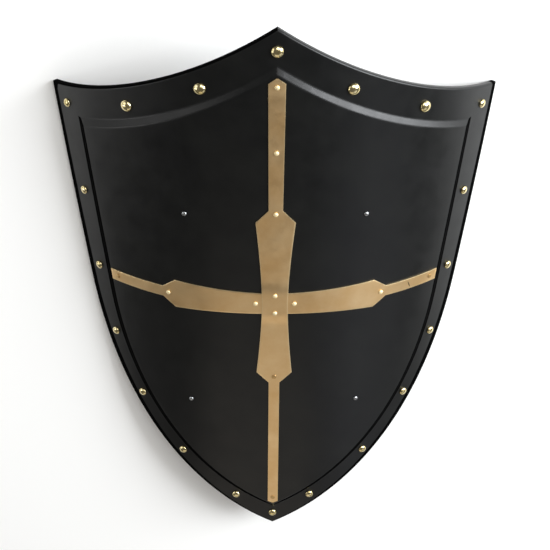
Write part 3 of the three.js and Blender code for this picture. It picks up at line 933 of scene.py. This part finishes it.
@dataclass(frozen=True)
class Upright(BrassStrip):
    """The upright strip: a house-shaped top, a waisted blade that rides over the bar, a slim tail."""

    blade_up: float = 112.0
    blade_down: float = 103.5
    top_width: float = 45.0
    foot_width: float = 42.5
    waist: float = 29.8
    strap_top: float = 18.5
    strap_neck: float = 16.0
    tail: float = 13.0
    point: float = 6.0
    point_width: float = 2.0
    hump_ramp: float = 14.0
    bar_waist: float = 29.0
    blade_knots: int = 14

    @property
    def top_end(self) -> float:
        """Where the strip ends below the field's peak."""
        return FIELD.peak - self.end_gap

    @property
    def foot_end(self) -> float:
        """Where the strip ends above the field's tip."""
        return FIELD.tip + self.end_gap

    def knots(self) -> list[tuple[float, float]]:
        """Lists the places along the strip where its width is set.

        Returns:
            Each place and the half width there, in rising order.
        """
        steps = [i / self.blade_knots for i in range(self.blade_knots + 1)]
        lower = [(self.crossing - self.blade_down * s, self.blade(s, 1.0, self.waist, self.foot_width))
                 for s in reversed(steps[1:])]
        upper = [(self.crossing + self.blade_up * s, self.blade(s, 1.0, self.waist, self.top_width))
                 for s in steps]
        return [(self.foot_end, self.point_width / 2), (self.foot_end + self.point / 2, self.tail / 2),
                (self.crossing - self.blade_down - self.neck, self.tail / 2), *lower, *upper,
                (self.crossing + self.blade_up + self.neck, self.strap_neck / 2),
                (self.top_end - self.point, self.strap_top / 2), (self.top_end, self.point_width / 2)]

    def hump_at(self, along: float) -> float:
        """How far the strip rides up over the bar at a place along the shield."""
        past = abs(along - self.crossing) - self.bar_waist / 2 - FIT - BRASS_THICKNESS
        share = 1 - min(max(past / self.hump_ramp, 0.0), 1.0)
        return HUMP * share * share * (3 - 2 * share)

    def rows(self) -> list[Row]:
        """Lists the strip's rows.

        Returns:
            The rows from the foot to the top.
        """
        knots = self.knots()
        rows = []
        for (low, narrow), (high, wide) in zip(knots, knots[1:]):
            count = max(1, round((high - low) / self.step))
            for i in range(count):
                share = i / count
                along, half = low + (high - low) * share, narrow + (wide - narrow) * share
                rows.append(Row(Vector((-half, along, 0)), Vector((half, along, 0)), self.hump_at(along)))
        end, half = knots[-1]
        rows.append(Row(Vector((-half, end, 0)), Vector((half, end, 0))))
        return rows

    def build(self, shop: Workshop) -> bpy.types.Object:
        """Cuts and lays the strip."""
        return self.lay(shop, self.rows(), "upright_strip", "cross_upright")


@dataclass(frozen=True)
class Bar(BrassStrip):
    """The level strip: a waisted blade and two straps cut off along the field's edge."""

    reach: float = 119.0
    width: float = 39.0
    waist: float = 29.0
    strap: float = 14.5
    end_row: float = 1.0

    def end_arc(self, along: float) -> float:
        """Where the strip ends beside the field's edge."""
        return FIELD.side_at(along) - self.end_gap

    def half_at(self, arc: float) -> float:
        """Finds half the strip's width.

        Args:
            arc: The distance from the middle line.

        Returns:
            The half width there.
        """
        if arc <= self.reach:
            return self.blade(arc, self.reach, self.waist, self.width)
        share = min((arc - self.reach) / self.neck, 1.0)
        return (self.width + (self.strap - self.width) * share) / 2

    def rows(self) -> list[Row]:
        """Lists the strip's rows.

        Returns:
            The rows from its left end to its right end.
        """
        inner = self.end_arc(self.crossing - self.strap / 2) - self.end_row
        stops = [0.0, self.reach, self.reach + self.neck, inner]
        places = [0.0]
        for low, high in zip(stops, stops[1:]):
            count = max(1, round((high - low) / self.step))
            places += [low + (high - low) * (i + 1) / count for i in range(count)]
        arcs = [-a for a in reversed(places[1:])] + places
        rows = [Row(Vector((a, self.crossing + self.half_at(abs(a)), 0)),
                    Vector((a, self.crossing - self.half_at(abs(a)), 0))) for a in arcs]
        high, low = self.crossing + self.strap / 2, self.crossing - self.strap / 2
        ends = [Row(Vector((side * self.end_arc(high), high, 0)), Vector((side * self.end_arc(low), low, 0)))
                for side in (-1, 1)]
        return [ends[0], *rows, ends[1]]

    def build(self, shop: Workshop) -> bpy.types.Object:
        """Cuts and lays the strip."""
        return self.lay(shop, self.rows(), "level_strip", "cross_bar")


@dataclass(frozen=True)
class BorderRivets:
    """The domed rivets along the border's middle line, larger along the head than down the flanks."""

    head_shares: tuple[float, ...] = (0.31, 0.645)
    flank_shares: tuple[float, ...] = (0.0, 0.195, 0.375, 0.54, 0.69, 0.83, 0.945)

    def build(self, shop: Workshop) -> None:
        """Sets every border rivet.

        Args:
            shop: Where finished pieces are made.
        """
        line = BORDER_MIDDLE
        HEAD_RIVET.build(shop, "rim_rivet_peak", 0.0, line.peak)
        FLANK_RIVET.build(shop, "rim_rivet_tip", 0.0, line.tip)
        for hand in Hand:
            for i, share in enumerate(self.head_shares, 1):
                arc = share * line.corner[0]
                HEAD_RIVET.build(shop, f"rim_rivet_head_{hand.word}_{i}", hand.value * arc, line.head_at(arc))
            for i, share in enumerate(self.flank_shares, 1):
                along = line.corner[1] + (line.tip - line.corner[1]) * share
                FLANK_RIVET.build(shop, f"rim_rivet_flank_{hand.word}_{i}", hand.value * line.side_at(along),
                                  along)


@dataclass(frozen=True)
class CrossRivets:
    """The small brass rivets that hold the cross on the field."""

    upright: Upright
    bar: Bar
    flush_dome: float = 0.7
    centres_apart: float = 25.0
    centre_arc: float = 22.5
    end_inset: float = 10.0
    shoulder_inset: float = 9.0

    def build(self, shop: Workshop) -> None:
        """Sets every rivet of the cross.

        Args:
            shop: Where finished pieces are made.
        """
        up, bar, domed = self.upright, self.bar, CROSS_RIVET
        both = replace(domed, seat=domed.seat + HUMP, grip=domed.grip + HUMP)
        flush = replace(domed, dome=self.flush_dome, finish=Finish.FLUSH_BRASS)
        shoulder = up.crossing + up.blade_up + up.neck - self.shoulder_inset / 2
        top = up.top_end - self.end_inset
        neck = up.crossing - up.blade_down - up.neck + self.shoulder_inset
        apart = self.centres_apart / 2
        for rivet, name, along in ((domed, "head", top), (domed, "strap", (top + shoulder) / 2),
                                   (domed, "shoulder", shoulder), (flush, "lower_neck", neck),
                                   (flush, "tail", up.foot_end + self.end_inset),
                                   (both, "centre_upper", up.crossing + apart),
                                   (both, "centre_lower", up.crossing - apart)):
            rivet.build(shop, f"cross_rivet_{name}", 0.0, along)
        for hand in Hand:
            for rivet, name, arc in ((domed, "centre", self.centre_arc),
                                     (domed, "neck", bar.reach + self.shoulder_inset),
                                     (flush, "end", bar.end_arc(bar.crossing) - self.end_inset)):
                rivet.build(shop, f"cross_rivet_{name}_{hand.word}", hand.value * arc, bar.crossing)


@dataclass(frozen=True)
class ArmStrap:
    """A leather arm strap behind the sheet, with its two steel rivets and two rows of stitches."""

    arc: float = 104.0
    top: float = 482.0
    foot: float = 208.5
    width: float = 30.0
    thickness: float = 3.0
    tab: float = 15.0
    bow: float = 46.0
    washer: float = 11.0
    rows: int = 96
    columns: tuple[float, ...] = (-0.5, -0.46, -0.38, -0.2, 0.0, 0.2, 0.38, 0.46, 0.5)
    edge_round: float = 0.7
    stitch_inset: float = 3.6
    stitch_length: float = 3.2
    stitch_pitch: float = 4.6
    stitch_width: float = 0.9
    stitch_rise: float = 0.32
    stitch_lift: float = 0.05
    free_tab: float = 0.9
    corner_angle: float = 1.0

    @property
    def seat(self) -> float:
        """The lift of the strap's side that faces the sheet."""
        dip = BEND_RADIUS - math.sqrt(BEND_RADIUS ** 2 - (self.width / 2) ** 2)
        return FIELD_BACK - FIT - dip

    def curve(self, along: float) -> Vector:
        """The strap's side that faces the sheet, at a place along it."""
        start, end = self.foot + self.tab, self.top - self.tab
        share = min(max((along - start) / (end - start), 0.0), 1.0)
        return Vector((0.0, along, self.seat - self.bow * math.sin(math.pi * share) ** 2))

    def settle(self, point: Vector) -> Vector:
        """Takes a point of the flat strap to the bowed one.

        Args:
            point: The point, with a lift that runs backwards, so that a mesh is mirrored.

        Returns:
            The point on the bowed strap.
        """
        slope = self.curve(point.y + 0.5) - self.curve(point.y - 0.5)
        away = Vector((0.0, slope.z, -slope.y)).normalized()
        return self.curve(point.y) + Vector((point.x, 0.0, 0.0)) + away * point.z

    def leather(self) -> bmesh.types.BMesh:
        """Cuts the strap and bows it.

        Returns:
            The strap's mesh, before it is set behind the sheet.
        """
        bm = bmesh.new()
        across = len(self.columns) - 1
        bmesh.ops.create_grid(bm, x_segments=across, y_segments=self.rows, size=1.0)
        edge = bm.verts.layers.float.new("edge")
        low, high = self.foot - self.tab, self.top + self.tab
        for vert in bm.verts:
            column = round((vert.co.x + 1) / 2 * across)
            vert[edge] = float(column in (0, across))
            vert.co.x = self.columns[column] * self.width
            vert.co.y = low + (high - low) * (vert.co.y + 1) / 2
        grown = bmesh.ops.extrude_face_region(bm, geom=bm.faces[:])["geom"]
        bmesh.ops.translate(bm, verts=[g for g in grown if isinstance(g, bmesh.types.BMVert)],
                            vec=(0.0, 0.0, self.thickness))
        bmesh.ops.recalc_face_normals(bm, faces=bm.faces)
        sharp = [e for e in bm.edges if e.calc_face_angle(0.0) > self.corner_angle]
        round_off(bm, sharp, self.edge_round, 3)
        for vert in bm.verts:
            vert.co = self.settle(vert.co)
        bmesh.ops.reverse_faces(bm, faces=bm.faces)
        return bm

    def stitches(self) -> bmesh.types.BMesh:
        """Sews a row of stitches along both edges of the bowed length.

        Returns:
            The stitches' mesh, before it is set behind the sheet.
        """
        bm = bmesh.new()
        free = self.tab * self.free_tab
        start, end = self.foot + free, self.top - free
        count = int((end - start) / self.stitch_pitch)
        for side in (-1, 1):
            for i in range(count + 1):
                made = bmesh.ops.create_uvsphere(bm, u_segments=6, v_segments=5, radius=1.0)["verts"]
                bmesh.ops.scale(bm, verts=made,
                                vec=(self.stitch_width / 2, self.stitch_length / 2, self.stitch_rise))
                middle = Vector((side * (self.width / 2 - self.stitch_inset),
                                 start + (end - start) * i / count, self.thickness + self.stitch_lift))
                for vert in made:
                    vert.co = self.settle(vert.co + middle)
        bmesh.ops.reverse_faces(bm, faces=bm.faces)
        return bm

    def build(self, shop: Workshop, hand: Hand) -> None:
        """Sets the strap, its stitches and its rivets.

        Args:
            shop: Where finished pieces are made.
            hand: Which half the strap is on.
        """
        place = square_on(hand.value * self.arc, 0.0)
        leather, stitches = self.leather(), self.stitches()
        for bm in (leather, stitches):
            bmesh.ops.transform(bm, matrix=place, verts=bm.verts)
        shop.hand_over(leather, f"strap_leather_{hand.word}", Finish.LEATHER, f"arm_strap_{hand.word}")
        shop.hand_over(stitches, f"strap_stitches_{hand.word}", Finish.THREAD)
        rivet = replace(CROSS_RIVET, seat=FIELD_RISE, grip=FIELD_RISE - self.seat + self.thickness,
                        tail=self.washer, finish=Finish.STEEL)
        for word, along in (("upper", self.top), ("lower", self.foot)):
            rivet.build(shop, f"strap_rivet_{word}_{hand.word}", hand.value * self.arc, along)


@dataclass(frozen=True)
class Studio:
    """The pale floor, the soft lights and the camera."""

    place: Matrix
    elevation: float = 34.46
    azimuth: float = -1.12
    roll: float = 0.62
    distance: float = 1424.2
    target: tuple[float, float, float] = (-0.06, 405.57, 0.0)
    lens: float = 80.04
    sensor: float = 36.0
    clip: tuple[float, float] = (0.05, 50.0)
    floor_half: float = 6.0
    room: str = "#eee8e0"
    room_strength: float = 0.17

    def floor(self) -> None:
        """Lays the floor under the shield."""
        bm = bmesh.new()
        bmesh.ops.create_grid(bm, x_segments=1, y_segments=1, size=self.floor_half)
        mesh = bpy.data.meshes.new("floor")
        bm.to_mesh(mesh)
        bm.free()
        mesh.materials.append(PaleFloor().make())
        piece = bpy.data.objects.new("floor", mesh)
        bpy.context.scene.collection.objects.link(piece)

    def light(self, name: str, at: tuple[float, float, float], size: tuple[float, float],
              power: float, colour: str = "#ffffff") -> None:
        """Hangs one oblong soft light that faces the shield.

        Args:
            name: The light's name.
            at: Its place in metres.
            size: Its width and height in metres.
            power: Its power in watts.
            colour: Its colour.
        """
        lamp = bpy.data.lights.new(name, "AREA")
        lamp.shape = "RECTANGLE"
        lamp.size, lamp.size_y, lamp.energy = *size, power
        lamp.color = linear(colour)[:3]
        holder = bpy.data.objects.new(name, lamp)
        holder.location = at
        holder.rotation_euler = (-Vector(at)).to_track_quat("-Z", "Y").to_euler()
        bpy.context.scene.collection.objects.link(holder)

    def lights(self) -> None:
        """Hangs the lights and sets the room's own light."""
        scene = bpy.context.scene
        scene.view_settings.view_transform = "Standard"
        world = bpy.data.worlds.new("room")
        world.use_nodes = True
        inputs = world.node_tree.nodes["Background"].inputs
        inputs["Color"].default_value = linear(self.room)
        inputs["Strength"].default_value = self.room_strength
        scene.world = world
        self.light("window", (1.9, 0.8, 1.15), (1.2, 1.7), 102.0, "#f8fbff")
        self.light("right", (1.5, -1.6, 1.4), (1.5, 1.2), 4.0, "#f4f6ff")
        self.light("front", (-0.2, -1.9, 1.2), (1.6, 1.2), 4.0, "#fff4e6")
        self.light("head", (0.5, 1.5, 1.9), (1.6, 1.8), 26.0)
        self.light("left", (-2.1, -0.3, 0.9), (0.35, 1.2), 6.0)
        self.light("left head", (-2.0, 0.8, 1.0), (1.2, 1.4), 8.0)

    def camera(self) -> None:
        """Stands the camera where the picture was taken from."""
        lift, turn, roll = (math.radians(a) for a in (self.elevation, self.azimuth, self.roll))
        back = Vector((math.sin(turn) * math.cos(lift), math.sin(lift), math.cos(turn) * math.cos(lift)))
        right = Vector((0.0, 1.0, 0.0)).cross(back).normalized()
        up = back.cross(right)
        right, up = right * math.cos(roll) + up * math.sin(roll), up * math.cos(roll) - right * math.sin(roll)
        turned = self.place.to_3x3().normalized() @ Matrix((right, up, back)).transposed()
        data = bpy.data.cameras.new("camera")
        data.lens, data.sensor_width = self.lens, self.sensor
        data.clip_start, data.clip_end = self.clip
        holder = bpy.data.objects.new("camera", data)
        eye = self.place @ (Vector(self.target) + back * self.distance)
        holder.matrix_world = Matrix.Translation(eye) @ turned.to_4x4()
        bpy.context.scene.collection.objects.link(holder)
        bpy.context.scene.camera = holder


def main() -> None:
    """Builds every piece, then the studio."""
    logging.basicConfig(level=logging.INFO, format="%(name)s %(message)s")
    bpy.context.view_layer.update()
    shop = Workshop(resting_place())
    ShieldPlate().build(shop)
    upright, bar = Upright(), Bar()
    bar.build(shop)
    upright.build(shop)
    BorderRivets().build(shop)
    CrossRivets(upright, bar).build(shop)
    for hand in Hand:
        ArmStrap().build(shop, hand)
    studio = Studio(shop.place)
    studio.floor()
    studio.lights()
    studio.camera()


if __name__ == "__main__":
    main()
